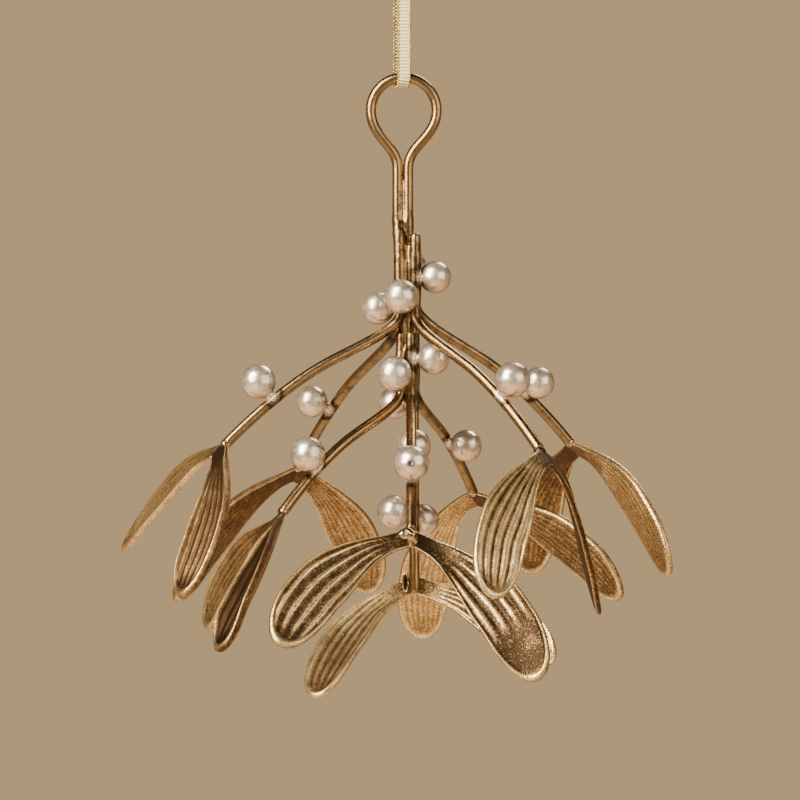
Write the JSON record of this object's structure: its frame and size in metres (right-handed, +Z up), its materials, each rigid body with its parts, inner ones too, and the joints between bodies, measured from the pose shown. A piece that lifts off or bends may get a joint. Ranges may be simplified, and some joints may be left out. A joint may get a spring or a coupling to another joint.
{
  "type": "hanging mistletoe ornament",
  "caption": "Hanging ornament shaped as a sprig of mistletoe: gold wire branches from a short stem, paired ribbed metal leaves, pearl berries, wire eye and ribbon loop.",
  "frame": {"origin": "where a hook bears on the ribbon, between its two strands just under the knot", "axes": "+Z up along the hanging line, +X to the ornament's right seen from its front, +Y to its back; the eye lies in the XZ plane"},
  "size_m": [0.1332, 0.1292, 0.1781],
  "materials": {
    "foiled_gold_wire": "antiqued gold leafing on wire, satin",
    "foiled_gold_leaf": "antiqued gold leafing on stamped sheet, speckled satin",
    "pearl_paint": "pearl paint, satin",
    "gold_edged_ribbon": "ribbed woven ribbon with metallic edges"
  },
  "bodies": {
    "root": {"hanging_eye": "foiled_gold_wire", "leaf_pair_centre": "foiled_gold_leaf", "leaf_pair_lower_back": "foiled_gold_leaf", "leaf_pair_lower_front": "foiled_gold_leaf", "leaf_pair_lower_left": "foiled_gold_leaf", "leaf_pair_upper_back_left": "foiled_gold_leaf", "leaf_pair_upper_back_right": "foiled_gold_leaf", "leaf_pair_upper_front_right": "foiled_gold_leaf", "leaf_pair_upper_left": "foiled_gold_leaf", "pearl_centre_back": "pearl_paint", "pearl_centre_front": "pearl_paint", "pearl_centre_left": "pearl_paint", "pearl_lower_back": "pearl_paint", "pearl_lower_front": "pearl_paint", "pearl_lower_left": "pearl_paint", "pearl_lower_stem_back": "pearl_paint", "pearl_lower_stem_front": "pearl_paint", "pearl_lower_stem_right": "pearl_paint", "pearl_stem_back": "pearl_paint", "pearl_stem_front": "pearl_paint", "pearl_stem_left": "pearl_paint", "pearl_stem_right": "pearl_paint", "pearl_upper_back_left": "pearl_paint", "pearl_upper_back_right": "pearl_paint", "pearl_upper_front_right": "pearl_paint", "pearl_upper_left": "pearl_paint", "ribbon": "gold_edged_ribbon", "ribbon_knot": "gold_edged_ribbon", "wire_centre": "foiled_gold_wire", "wire_lower_back": "foiled_gold_wire", "wire_lower_front": "foiled_gold_wire", "wire_lower_left": "foiled_gold_wire", "wire_upper_back_left": "foiled_gold_wire", "wire_upper_back_right": "foiled_gold_wire", "wire_upper_front_right": "foiled_gold_wire", "wire_upper_left": "foiled_gold_wire"}
  },
  "joints": []
}
